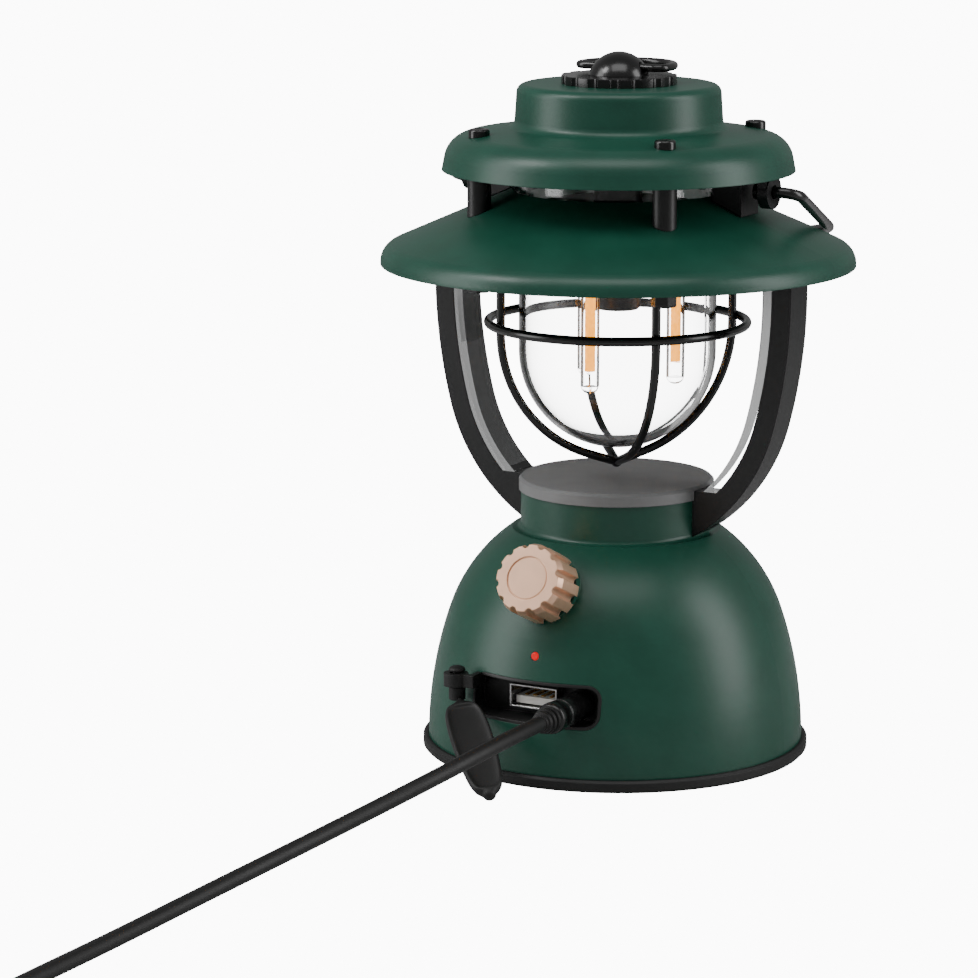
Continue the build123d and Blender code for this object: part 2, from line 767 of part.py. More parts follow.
with BuildPart() as upper_posts:
    with BuildSketch(Plane.XY.offset(brim_edge)):
        with post_places:
            Circle(post_radius)
    extrude(amount=hood_top - brim_edge)
    add(below_brim_top, mode=Mode.SUBTRACT)
    add(above_hood_underside, mode=Mode.SUBTRACT)
    add(hood.part, mode=Mode.SUBTRACT)
    with BuildSketch(Plane.XY.offset(brim_edge)):
        with post_places:
            Circle(bolt_radius + hole_gap)
    extrude(amount=hood_top - brim_edge, mode=Mode.SUBTRACT)
save(upper_posts, "upper_posts")

with BuildPart() as lower_posts:
    with BuildSketch(Plane.XY.offset(eye_top)):
        with post_places:
            Circle(post_radius)
            Circle(bolt_radius + hole_gap, mode=Mode.SUBTRACT)
    extrude(amount=brim_rise + 5)
    add(above_brim_underside, mode=Mode.SUBTRACT)
save(lower_posts, "lower_posts")

nut_height = 3.4
nut_flats = 2.75
eye_bottom = eye_top - eye_thick
bolt_end = eye_bottom - nut_height + 1.2
bolt_head_radius = 2.65
bolt_head = 1.9              # height of the head over the shoulder, at its middle
with BuildPart() as hood_screws:
    head_z = hood_over(post_circle) + bolt_head
    with BuildSketch(Plane.XY.offset(head_z)):
        with post_places:
            Circle(bolt_head_radius)
    extrude(amount=-4)
    fillet(hood_screws.edges().group_by(Axis.Z)[-1], 0.7)
    add(below_hood_top, mode=Mode.SUBTRACT)
    with BuildSketch(Plane.XY.offset(head_z - bolt_head / 2)):
        with post_places:
            Circle(bolt_radius)
    extrude(amount=bolt_end - (head_z - bolt_head / 2))
    with BuildSketch(Plane.XY.offset(head_z)):
        with post_places:
            RegularPolygon(1.3, 6)
    extrude(amount=-0.9, mode=Mode.SUBTRACT)
save(hood_screws, "hood_screws")

with BuildPart() as guard_nuts:
    with BuildSketch(Plane.XY.offset(eye_bottom)):
        with post_places:
            RegularPolygon(nut_flats, 6, major_radius=False)
    extrude(amount=-nut_height)
    fillet(guard_nuts.faces().sort_by(Axis.Z)[0:4].edges(), 0.6)
    with BuildSketch(Plane.XY.offset(eye_bottom)):
        with post_places:
            Circle(bolt_radius + 0.05)
    extrude(amount=-nut_height + 1.0, mode=Mode.SUBTRACT)
save(guard_nuts, "guard_nuts")

# ---------------------------------------------------------------- glass globe
globe_radius = 25.0
globe_wall = 1.6
globe_centre = cap_top + 32.0    # centre of the globe's round end
globe_top = hood_under(globe_radius + 1) - 2.4
with BuildPart() as glass_globe:
    with BuildSketch(Plane.XZ):
        with BuildLine():
            bowl = CenterArc((0, globe_centre), globe_radius, -90, 90)
            bowl_in = CenterArc((0, globe_centre), globe_radius - globe_wall, -90, 90)
            Polyline(bowl @ 1, (globe_radius, globe_top),
                     (globe_radius - globe_wall, globe_top), bowl_in @ 1)
            Line(bowl @ 0, bowl_in @ 0)
        make_face()
    revolve(axis=Axis.Z)
save(glass_globe, "glass_globe")

gasket_lip = 1.4
with BuildPart() as globe_gasket:
    with BuildSketch(Plane.XZ):
        with BuildLine():
            r_in = globe_radius - globe_wall - 0.1
            r_out = globe_radius + 0.1
            top = hood_under(r_out + gasket_lip) - hole_gap
            Polyline((r_in - 0.8, globe_top - 2), (r_in, globe_top - 2), (r_in, globe_top),
                     (r_out, globe_top), (r_out, globe_top - 2),
                     (r_out + gasket_lip, globe_top - 2), (r_out + gasket_lip, top),
                     (r_in - 0.8, top), close=True)
        make_face()
    revolve(axis=Axis.Z)
save(globe_gasket, "globe_gasket")

# ---------------------------------------------------------------- wire guard
guard_radius = 30.8          # middle line of the four upright wires
guard_wire = 1.1             # radius of the upright wires
ring_wire = 1.15
ring_drop = 13.9             # guard ring below the eyelets
guard_arc = 34.0             # radius of the bend of each wire under the globe
guard_slope = 18.0           # slope of the wires where they meet at the tip
guard_tip = cap_top + 2.9
weld = 0.3                   # how far two welded wires sink into each other
guard_bend = 1.8
eye_radius = 3.6
guard_top = eye_top - eye_thick / 2
guard_in = guard_radius - guard_arc + guard_arc * sin(radians(guard_slope))
guard_centre = (guard_tip + guard_in * tan(radians(guard_slope))
                + guard_arc * cos(radians(guard_slope)))
with BuildPart() as wire_guard:
    for angle in (45, 135, 225, 315):
        with BuildLine(upright(angle)) as leg_path:
            FilletPolyline((post_circle - eye_radius + weld, guard_top),
                           (guard_radius, guard_top), (guard_radius, guard_centre),
                           radius=guard_bend)
            CenterArc((guard_radius - guard_arc, guard_centre), guard_arc, 0,
                      guard_slope - 90)
            Line((guard_in, guard_tip + guard_in * tan(radians(guard_slope))),
                 (0, guard_tip))
        wire = leg_path.wires()[0]
        with BuildSketch(Plane(origin=wire @ 0, z_dir=wire % 0)):
            Circle(guard_wire)
        sweep(path=wire)
    with Locations((0, 0, guard_tip)):
        Sphere(guard_wire + weld)
    with BuildSketch(Plane.XZ):
        with Locations((guard_radius + guard_wire + ring_wire - weld, eye_top - ring_drop)):
            Circle(ring_wire)
    revolve(axis=Axis.Z)
    with BuildSketch(Plane.XY.offset(eye_bottom)):
        with post_places:
            Circle(eye_radius)
    extrude(amount=eye_thick)
    with BuildSketch(Plane.XY.offset(eye_bottom)):
        with post_places:
            Circle(bolt_radius + hole_gap)
    extrude(amount=eye_thick, mode=Mode.SUBTRACT)
save(wire_guard, "wire_guard")

# ---------------------------------------------------------------- lamp inside the globe
carrier_top = brim_crown - 4.7
carrier_thick = 3.0
carrier_radius = globe_radius - globe_wall - 0.5
core_radius = 6.0
core_bottom = carrier_top - 25.5
tube_circle = 14.8
tube_radius = 2.3
tube_wall = 0.6
tube_bottom = carrier_top - 45.0
filament_radius = 1.3
filament_bottom = tube_bottom + 5.6
tube_places = PolarLocations(tube_circle, 3, start_angle=FRONT)
socket_depth = 2.0
with BuildPart() as lamp_carrier:
    with BuildSketch(Plane.XY.offset(carrier_top - carrier_thick)):
        Circle(carrier_radius)
    extrude(amount=carrier_thick)
    with BuildSketch(Plane.XY.offset(carrier_top - carrier_thick)):
        with tube_places:
            Circle(tube_radius)
    extrude(amount=socket_depth, mode=Mode.SUBTRACT)
save(lamp_carrier, "lamp_carrier")

with BuildPart() as lamp_core:
    with BuildSketch(Plane.XY.offset(core_bottom)):
        Circle(core_radius)
    extrude(amount=carrier_top - carrier_thick - core_bottom)
    chamfer(lamp_core.edges().group_by(Axis.Z)[0], 0.8)
save(lamp_core, "lamp_core")

tube_top = carrier_top - carrier_thick + socket_depth
with BuildPart() as filament_tubes:
    with BuildSketch(Plane.XY.offset(tube_bottom)):
        with tube_places:
            Circle(tube_radius)
    extrude(amount=tube_top - tube_bottom)
    fillet(filament_tubes.edges().group_by(Axis.Z)[0], tube_radius * 0.9)
    with BuildSketch(Plane.XY.offset(tube_bottom + 3 * tube_wall)):
        with tube_places:
            Circle(tube_radius - tube_wall)
    extrude(amount=tube_top - tube_bottom, mode=Mode.SUBTRACT)
save(filament_tubes, "filament_tubes")

with BuildPart() as filaments:
    with BuildSketch(Plane.XY.offset(filament_bottom)):
        with tube_places:
            Circle(filament_radius)
    extrude(amount=tube_top - filament_bottom)
save(filaments, "filaments")

driver_radius = 19.0
driver_thick = 1.6
with BuildPart() as driver_board:
    with BuildSketch(Plane.XY.offset(carrier_top)):
        Circle(driver_radius)
        Circle(core_radius + hole_gap, mode=Mode.SUBTRACT)
    extrude(amount=driver_thick)
save(driver_board, "driver_board")

stud_depth = 9.0
with BuildPart() as lamp_stem:
    with BuildSketch(Plane.XY.offset(carrier_top)):
        Circle(core_radius)
    extrude(amount=hood_top - sheet - carrier_top)
    with BuildSketch(Plane.XY.offset(hood_top - sheet)):
        Circle(stud_radius)
    extrude(amount=-stud_depth, mode=Mode.SUBTRACT)
save(lamp_stem, "lamp_stem")

# ---------------------------------------------------------------- top washer and dome
washer_radius = 14.5
washer_thick = 2.2
lobe_count = 16
lobe_notch = 1.5
with BuildPart() as top_washer:
    with BuildSketch(Plane.XY.offset(hood_top)):
        Circle(washer_radius)
        Circle(stud_radius + hole_gap, mode=Mode.SUBTRACT)
        with PolarLocations(washer_radius + lobe_notch * 0.45, lobe_count):
            Circle(lobe_notch, mode=Mode.SUBTRACT)
    extrude(amount=washer_thick)
save(top_washer, "top_washer")

dome_top_radius = 7.65
dome_top_height = 5.8
washer_top = hood_top + washer_thick
ring_wire_radius = 1.0
ring_z = washer_top + 2.0
cap_arc = (dome_top_radius**2 + dome_top_height**2) / (2 * dome_top_height)
with BuildPart() as top_dome:
    with BuildSketch(Plane.XZ):
        with BuildLine():
            crown = (0, washer_top + dome_top_height)
            half = asin(dome_top_radius / cap_arc) / 2
            drop = cap_arc * (1 - cos(half))
            mid = (cap_arc * sin(half), washer_top + dome_top_height - drop)
            ThreePointArc((dome_top_radius, washer_top), mid, crown)
            Polyline(crown, (0, hood_top - sheet - stud_depth + 1),
                     (stud_radius, hood_top - sheet - stud_depth + 1),
                     (stud_radius, washer_top), (dome_top_radius, washer_top))
        make_face()
    revolve(axis=Axis.Z)
    pin_depth = 3.0
    with BuildSketch(Plane.YZ.offset(-dome_top_radius)):
        with Locations((0, ring_z)):
            Circle(ring_wire_radius + swing_gap)
    extrude(amount=pin_depth, mode=Mode.SUBTRACT)
    with BuildSketch(Plane.YZ.offset(dome_top_radius)):
        with Locations((0, ring_z)):
            Circle(ring_wire_radius + swing_gap)
    extrude(amount=-pin_depth, mode=Mode.SUBTRACT)
save(top_dome, "top_dome")

# ---------------------------------------------------------------- folding hang ring
ring_half = 12.0
ring_leg = 4.0
ring_bend = 2.5
ring_pin = dome_top_radius - pin_depth + swing_gap
with BuildPart() as hang_ring:
    with BuildLine(Plane.XY.offset(ring_z)) as bow:
        leg_a = FilletPolyline((ring_pin, 0), (ring_half, 0), (ring_half, ring_leg),
                               radius=ring_bend)
        ThreePointArc((ring_half, ring_leg), (0, ring_leg + ring_half),
                      (-ring_half, ring_leg))
        FilletPolyline((-ring_half, ring_leg), (-ring_half, 0), (-ring_pin, 0),
                       radius=ring_bend)
    with BuildSketch(Plane(origin=leg_a @ 0, z_dir=leg_a % 0)):
        Circle(ring_wire_radius)
    sweep(path=bow.wires()[0])
save(hang_ring, "hang_ring")

# ---------------------------------------------------------------- bail and its lugs
bail_wire = 1.4
bail_pivot_z = hood_edge - 3.3
bail_fold = 17.2             # how far the folded bail slopes down
bail_half = hood_radius + 5.0
bail_lean = 14.0             # lean of each leg towards the middle
bail_sweep = brim_radius - 10.0
bail_back = 16.0             # centre of the rear bow behind the pivot line
bail_corner = 9.0
bail_shoulder = 4.0
lug_in = hood_radius - sheet - 2.7
lug_thick = 2.3
lug_half = 4.0
lug_out = hood_radius - 1.4
lug_eye = 4.2
lug_top = hood_edge + 4.5
for side, sign in SIDES.items():
    with BuildPart() as bail_lug:
        with BuildSketch(Plane.YZ.offset(sign * lug_in)):
            with Locations((0, bail_pivot_z)):
                Circle(lug_eye)
            with Locations((0, (bail_pivot_z + lug_top) / 2)):
                Rectangle(2 * lug_half, lug_top - bail_pivot_z)
        extrude(amount=sign * lug_thick)
        with BuildSketch(Plane.YZ.offset(sign * lug_in)):
            with Locations((0, bail_pivot_z)):
                Circle(lug_eye)
            with Locations((0, hood_edge - swing_gap + lug_eye)):
                Rectangle(3 * lug_eye, 2 * lug_eye, mode=Mode.SUBTRACT)
        extrude(amount=sign * (lug_out - lug_in))
        with BuildSketch(Plane.YZ):
            with Locations((0, bail_pivot_z)):
                Circle(bail_wire + swing_gap)
        extrude(amount=sign * (lug_out + 5), mode=Mode.SUBTRACT)
        add(hood.part, mode=Mode.SUBTRACT)
    save(bail_lug, side + "_bail_lug")

# Each leg runs into the rear bow through a rounded corner: the corner's centre lies
# bail_corner inside the leg's line and inside the bow's arc.
lean = radians(bail_lean)
along = Vector(-sin(lean), cos(lean))
across = Vector(-cos(lean), -sin(lean))
leg_start = Vector(bail_half, 0)
bow_centre = Vector(0, bail_back)
offset_line = leg_start + across * bail_corner - bow_centre
half_b = offset_line.dot(along)
rest = offset_line.dot(offset_line) - (bail_sweep - bail_corner) ** 2
leg_length = -half_b + sqrt(half_b**2 - rest)
leg_end = leg_start + along * leg_length
corner_centre = leg_end + across * bail_corner
bow_side = (corner_centre - bow_centre).normalized()
bow_start = bow_centre + bow_side * bail_sweep
bow_mid = bow_centre + (bow_side + Vector(0, 1)).normalized() * bail_sweep
corner_mid = corner_centre + (bow_side - across).normalized() * bail_corner
bail_end = lug_in - 2.2
bail_plane = Plane(origin=(0, 0, bail_pivot_z), x_dir=(1, 0, 0),
                   z_dir=(0, sin(radians(bail_fold)), cos(radians(bail_fold))))
with BuildPart() as bail:
    with BuildLine(bail_plane) as half_wire:
        leg = FilletPolyline((bail_end, 0), (bail_half, 0), (leg_end.X, leg_end.Y),
                             radius=bail_shoulder)
        ThreePointArc((leg_end.X, leg_end.Y), (corner_mid.X, corner_mid.Y),
                      (bow_start.X, bow_start.Y))
        ThreePointArc((bow_start.X, bow_start.Y), (bow_mid.X, bow_mid.Y),
                      (0, bail_back + bail_sweep))
    with BuildSketch(Plane(origin=leg @ 0, z_dir=leg % 0)):
        Circle(bail_wire)
    sweep(path=half_wire.wires()[0])
    # Upset head that keeps the wire's end in its lug.
    with BuildSketch(Plane.YZ.offset(bail_end)):
        with Locations((0, bail_pivot_z)):
            Circle(bail_wire + 0.7)
    extrude(amount=1.1)
    mirror(about=Plane.YZ)
save(bail, "bail")

# ---------------------------------------------------------------- port cover and tether
# The rubber cover hangs on an upright pin at the left end of the port recess and swings
# about it. Its own frame: X runs down its length, Z out of its front face.
hinge_x = -recess_width / 2 - 3.2
hinge_y = -(dome_radius(recess_z) - 0.5)
hinge_z = recess_z + 3.6
flap_heading = radians(-47.0)
flap_drop = radians(26.5)
flap_root = 4.4              # root of the cover below the middle of the eye
flap_length = 39.0
flap_width = 11.0
flap_thick = 4.2
flap_neck = 6.5              # narrow root before the full width
neck_width = 3.4
neck_thick = 2.6
pin_radius = 1.2
pin_head = 2.1
tether_half = 1.6
tether_ring = 3.1
flap_x = Vector(cos(flap_heading) * cos(flap_drop), sin(flap_heading) * cos(flap_drop),
                -sin(flap_drop))
flap_n = Vector(0.239, -0.470, 0.849)
flap_z = (flap_n - flap_x * flap_n.dot(flap_x)).normalized()
flap_plane = Plane(origin=(hinge_x, hinge_y, hinge_z - flap_root), x_dir=flap_x,
                   z_dir=flap_z)
rim_inset = 1.3
with BuildPart() as port_cover:
    with BuildSketch(flap_plane.offset(-flap_thick / 2)):
        with Locations((flap_neck + (flap_length - flap_neck) / 2, 0)):
            RectangleRounded(flap_length - flap_neck, flap_width, flap_width / 2 - 0.6)
    extrude(amount=flap_thick)
    with BuildSketch(flap_plane.offset(-neck_thick / 2)):
        with Locations((flap_neck / 2 + 0.6, 0)):
            Rectangle(flap_neck + 1.2, neck_width)
    extrude(amount=neck_thick)
    # Shallow recess inside the raised rim of the front face.
    with BuildSketch(flap_plane.offset(flap_thick / 2 - 0.5)):
        with Locations((flap_neck + (flap_length - flap_neck) / 2, 0)):
            RectangleRounded(flap_length - flap_neck - 2 * rim_inset,
                             flap_width - 2 * rim_inset, flap_width / 2 - 0.7 - rim_inset)
    extrude(amount=0.5, mode=Mode.SUBTRACT)
    # The pin stands upright through the tether's eye, with a head over it.
    with BuildSketch(Plane.XY.offset(hinge_z - flap_root - 1.0)):
        with Locations((hinge_x, hinge_y)):
            Circle(pin_radius)
    extrude(amount=flap_root + 1.0 + tether_half + swing_gap)
    with BuildSketch(Plane.XY.offset(hinge_z + tether_half + swing_gap)):
        with Locations((hinge_x, hinge_y)):
            Circle(pin_head)
    extrude(amount=1.4)
    with BuildSketch(Plane.XY.offset(hinge_z - flap_root - 1.0)):
        with Locations((hinge_x, hinge_y)):
            Circle(pin_head)
    extrude(amount=flap_root + 1.0 - tether_half - swing_gap)
save(port_cover, "port_cover")

tether_thick = 1.4
with BuildPart() as cover_tether:
    with BuildSketch(Plane.XY.offset(hinge_z - tether_half)):
        with Locations((hinge_x, hinge_y)):
            Circle(tether_ring)
        # The strap runs from the eye over the recess's lip and down into the tray.
        with BuildLine():
            strap_in = (-recess_width / 2 + tray_wall + tether_thick / 2, -recess_floor - 1)
            strap_lip = (strap_in[0], hinge_y - 0.4)
            Polyline((hinge_x, hinge_y - tether_thick), (strap_lip[0] + 0.9, strap_lip[1] - 1),
                     (strap_in[0] + tether_thick / 2, strap_in[1]),
                     (strap_in[0] - tether_thick / 2 + 0.1, strap_in[1]),
                     (strap_lip[0] - 0.6, strap_lip[1] + 0.5), (hinge_x, hinge_y), close=True)
        make_face()
    extrude(amount=2 * tether_half)
    with BuildSketch(Plane.XY.offset(hinge_z - tether_half)):
        with Locations((hinge_x, hinge_y)):
            Circle(pin_radius + swing_gap)
    extrude(amount=2 * tether_half, mode=Mode.SUBTRACT)
    add(base_shell.part, mode=Mode.SUBTRACT)
    add(port_tray.part, mode=Mode.SUBTRACT)
save(cover_tether, "cover_tether")

# ---------------------------------------------------------------- charging plug
cord_radius = 1.95
plug_radius = 3.9
plug_length = 18.0
plug_front = recess_floor + plug_length
collar_length = 5.0
collar_wide = 3.5
collar_narrow = 2.6
tip_length = 8.0
with BuildPart() as plug_body:
    with BuildSketch(Plane.XZ.offset(recess_floor)):
        with Locations((jack_x, jack_z)):
            Circle(plug_radius)
    extrude(amount=plug_length)
    fillet(plug_body.edges().group_by(Axis.Y)[0], 0.8)
save(plug_body, "plug_body")

with BuildPart() as plug_collar:
    with BuildSketch(Plane.XZ.offset(plug_front)):
        with Locations((jack_x, jack_z)):
            Circle(collar_wide)
    with BuildSketch(Plane.XZ.offset(plug_front + collar_length)):
        with Locations((jack_x, jack_z)):
            Circle(collar_narrow)
    loft()
save(plug_collar, "plug_collar")

with BuildPart() as plug_tip:
    with BuildSketch(Plane.XZ.offset(recess_floor - tip_length)):
        with Locations((jack_x, jack_z)):
            Circle(jack_radius - 0.8)
    extrude(amount=tip_length)
save(plug_tip, "plug_tip")

# ---------------------------------------------------------------- charging cord
# The cord leaves the plug, sags to the floor and is wound into a tied coil of two
# layers. Its last stretch comes off the upper layer and lies down to the far plug.
turn_radii = (16.6, 20.4, 24.2)
tie_thick = 0.5
coil_centre = (8.0, -284.0)
coil_low = tie_thick
coil_high = coil_low + 4 * cord_radius
coil_in = turn_radii[0] - cord_radius
coil_out = turn_radii[-1] + cord_radius
exit_y = -(plug_front + collar_length)
coil_left = coil_centre[0] - turn_radii[-1]
coil_near = coil_centre[1] - turn_radii[-1]
coil_touch = sqrt(coil_out**2 - turn_radii[-1] ** 2)
far_height = 7.6
run_points = [
    (jack_x, exit_y, jack_z),
    (jack_x, -79.0, jack_z),
    (7.0, -99.0, 17.4),
    (-1.4, -121.0, 12.0),
    (-9.4, -146.0, 7.0),
    (-14.8, -174.0, 3.6),
    (-16.8, -206.0, 2.0),
    (-16.9, -236.0, 2.0),
    (coil_left, -262.0, 2.2),
    (coil_left, coil_centre[1] + coil_touch, coil_low + cord_radius),
]
far_z = far_height / 2
tail_points = [
    (coil_centre[0] + coil_touch, coil_near, coil_high - cord_radius),
    (coil_centre[0] + 19, coil_near - 0.8, coil_high - cord_radius - 0.8),
    (coil_centre[0] + 28, coil_near - 1.8, far_z),
    (coil_centre[0] + 37, coil_near - 1.8, far_z),
]


def corner_radii(points):
    """Radius of each corner: as large as the two runs beside it allow."""
    radii = []
    for before, corner, after in zip(points, points[1:], points[2:]):
        run_in = Vector(*corner) - Vector(*before)
        run_out = Vector(*after) - Vector(*corner)
        turn = radians(run_in.get_angle(run_out))
        radii.append(0.45 * min(run_in.length, run_out.length) / tan(turn / 2))
    return radii


def cord_tube(points, name):
    """Save a tube along runs that are joined by tangent arcs, and print its measures."""
    radii = corner_radii(points)
    with BuildPart() as tube:
        with BuildLine() as route:
            FilletPolyline(*points, radius=radii)
        path = route.wires()[0]
        with BuildSketch(Plane(origin=path @ 0, z_dir=path % 0)):
            Circle(cord_radius)
        sweep(path=path)
    ratio = tube.part.volume / (Circle(cord_radius).area * path.length)
    print(name, "length", round(path.length, 1), "volume ratio", round(ratio, 4),
          "radii", [round(r) for r in radii])
    save(tube, name)


cord_tube(run_points, "cord_run")
cord_tube(tail_points, "cord_tail")

with BuildPart() as cord_coil:
    with BuildSketch(Plane.XY.offset(coil_low)):
        with Locations(coil_centre):
            Circle(coil_out)
            Circle(coil_in, mode=Mode.SUBTRACT)
    extrude(amount=coil_high - coil_low)
save(cord_coil, "cord_coil")

tie_width = 7.0
tie_length = coil_out - coil_in + 2 * tie_thick + 0.4
tie_centre = (coil_centre[0] + (coil_in + coil_out) / 2, coil_centre[1])
with BuildPart() as cord_tie:
    with BuildSketch(Plane.XZ.offset(-coil_centre[1] - tie_width / 2)):
        with Locations((tie_centre[0], (coil_low + coil_high) / 2)):
            Rectangle(tie_length, coil_high - coil_low + 2 * tie_thick)
    extrude(amount=tie_width)
    add(cord_coil.part, mode=Mode.SUBTRACT)
save(cord_tie, "cord_tie")

relief_length = 9.0
relief_wide = 3.2
relief_narrow = 2.3
far_length = 20.0
far_width = 15.0
metal_length = 12.0
metal_width = 12.0
metal_height = 4.5
tail_end = Vector(*tail_points[-1])
far_plane = Plane(origin=tail_end, x_dir=(0, 1, 0), z_dir=(1, 0, 0))
with BuildPart() as far_relief:
    with BuildSketch(far_plane):
        Circle(relief_narrow)
    with BuildSketch(far_plane.offset(relief_length)):
        Circle(relief_wide)
    loft()
save(far_relief, "far_relief")

with BuildPart() as far_plug_body:
    with BuildSketch(far_plane.offset(relief_length)):
        RectangleRounded(far_width, far_height, 1.6)
    extrude(amount=far_length)
save(far_plug_body, "far_plug_body")

with BuildPart() as far_plug_shell:
    with BuildSketch(far_plane.offset(relief_length + far_length)):
        RectangleRounded(metal_width, metal_height, 0.6)
        RectangleRounded(metal_width - 0.8, metal_height - 0.8, 0.3, mode=Mode.SUBTRACT)
    extrude(amount=metal_length)
    with BuildSketch(far_plane.offset(relief_length + far_length)):
        with Locations((0, -1.0)):
            Rectangle(metal_width - 0.8, 1.6)
    extrude(amount=metal_length - 0.6)
save(far_plug_shell, "far_plug_shell")
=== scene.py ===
# %% [markdown]
# # Camping lantern
# This notebook dresses a finished CAD model of a camping lantern for a studio picture.
# The CAD model fixes every size and place. Here its plain pieces get real surfaces, and the
# pieces whose charm is in small details are modelled again with Blender's own tools.

# %% Load the frame
import json
import math

import bmesh
import bpy
from mathutils import Matrix, Vector

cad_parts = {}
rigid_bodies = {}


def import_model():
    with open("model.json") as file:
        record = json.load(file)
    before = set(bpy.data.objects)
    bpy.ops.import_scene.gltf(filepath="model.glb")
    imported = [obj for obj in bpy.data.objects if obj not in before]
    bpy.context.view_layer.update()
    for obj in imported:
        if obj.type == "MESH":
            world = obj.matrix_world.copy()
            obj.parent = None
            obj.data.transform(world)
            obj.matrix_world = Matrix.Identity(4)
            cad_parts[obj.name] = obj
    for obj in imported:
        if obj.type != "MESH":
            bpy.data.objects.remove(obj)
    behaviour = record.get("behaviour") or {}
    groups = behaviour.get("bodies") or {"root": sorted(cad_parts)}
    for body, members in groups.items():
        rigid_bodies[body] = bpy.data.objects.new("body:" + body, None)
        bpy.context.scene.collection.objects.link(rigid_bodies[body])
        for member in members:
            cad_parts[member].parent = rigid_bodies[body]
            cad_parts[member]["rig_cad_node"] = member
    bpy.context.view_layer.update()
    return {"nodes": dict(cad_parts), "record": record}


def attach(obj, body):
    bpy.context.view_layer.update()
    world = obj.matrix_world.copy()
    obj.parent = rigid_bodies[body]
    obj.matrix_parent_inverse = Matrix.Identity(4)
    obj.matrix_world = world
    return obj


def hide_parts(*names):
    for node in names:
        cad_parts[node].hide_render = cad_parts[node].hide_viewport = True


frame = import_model()
MM = 0.001
nodes = frame["nodes"]
print("CAD nodes:", len(nodes))

# %% [markdown]
# ## Camera
# A product picture of this kind is taken with a long lens from about a metre away, a little
# above the lantern, so that its circles show as thin ellipses. The camera stands to the right
# of the lantern's front and looks slightly down. It is made first, because where the charging
# cord may lie depends on what the camera sees.

# %% Camera
stand_angle = math.radians(27.0)
stand_off = 986.0 * MM
eye_height = 266.2 * MM
look_down = math.radians(11.443)
look_aside = -0.033

lens = bpy.data.cameras.new("camera")
lens.lens = 144.9
lens.sensor_width = 36.0
camera = bpy.data.objects.new("camera", lens)
bpy.context.scene.collection.objects.link(camera)
straight = Vector((-math.sin(stand_angle), math.cos(stand_angle), 0))
rightward = Vector((math.cos(stand_angle), math.sin(stand_angle), 0))
camera.location = -straight * stand_off + Vector((0, 0, eye_height))
level = straight * math.cos(look_aside) + rightward * math.sin(look_aside)
looking = level * math.cos(look_down) - Vector((0, 0, math.sin(look_down)))
camera.rotation_mode = "QUATERNION"
camera.rotation_quaternion = looking.to_track_quat("-Z", "Y")
bpy.context.scene.camera = camera
print("camera at", [round(x, 3) for x in camera.location])

# %% [markdown]
# ## A small language for materials
# Every finish here is a node tree. Written out in full, node trees are long, so one class
# wraps a shader socket and lets it be added, scaled and mixed like a number, and another
# holds the material that is being made. A formula such as `1 - mask * 0.3` then adds its own
# Math nodes.

# %% Sockets that calculate
class Value:
    """A number or colour on its way through a material."""

    def __init__(self, finish, socket):
        self.finish = finish
        self.socket = socket

    def _maths(self, operation, first, second):
        return self.finish.add("ShaderNodeMath", {"operation": operation},
                               {0: first, 1: second})

    def __add__(self, other):
        return self._maths("ADD", self, other)

    def __mul__(self, other):
        return self._maths("MULTIPLY", self, other)

    def __sub__(self, other):
        return self._maths("SUBTRACT", self, other)

    def __rsub__(self, other):
        return self._maths("SUBTRACT", other, self)

    __radd__ = __add__
    __rmul__ = __mul__


class Nodes:
    """A node tree, of a material or of the room, with short ways to fill it."""

    def __init__(self, tree):
        self.tree = tree

    def join(self, value, socket):
        if isinstance(value, Value):
            self.tree.links.new(value.socket, socket)
        else:
            socket.default_value = value

    def add(self, kind, settings=None, inputs=None, output=0):
        """Add any node: its settings first, then the values or links of its sockets."""
        node = self.tree.nodes.new(kind)
        for key, value in (settings or {}).items():
            setattr(node, key, value)
        for key, value in (inputs or {}).items():
            self.join(value, node.inputs[key])
        return Value(self, node.outputs[output])

    def seen(self):
        """One where a thing is seen straight or through glass, nought for light it throws."""
        straight_on = self.add("ShaderNodeLightPath", output="Is Camera Ray")
        through = self.add("ShaderNodeLightPath", output="Is Transmission Ray")
        for bounce in ("Diffuse Depth", "Glossy Depth"):
            through = through * (1 - self.add("ShaderNodeLightPath", output=bounce))
        return self.add("ShaderNodeMath", {"operation": "MAXIMUM"},
                        {0: straight_on, 1: through})


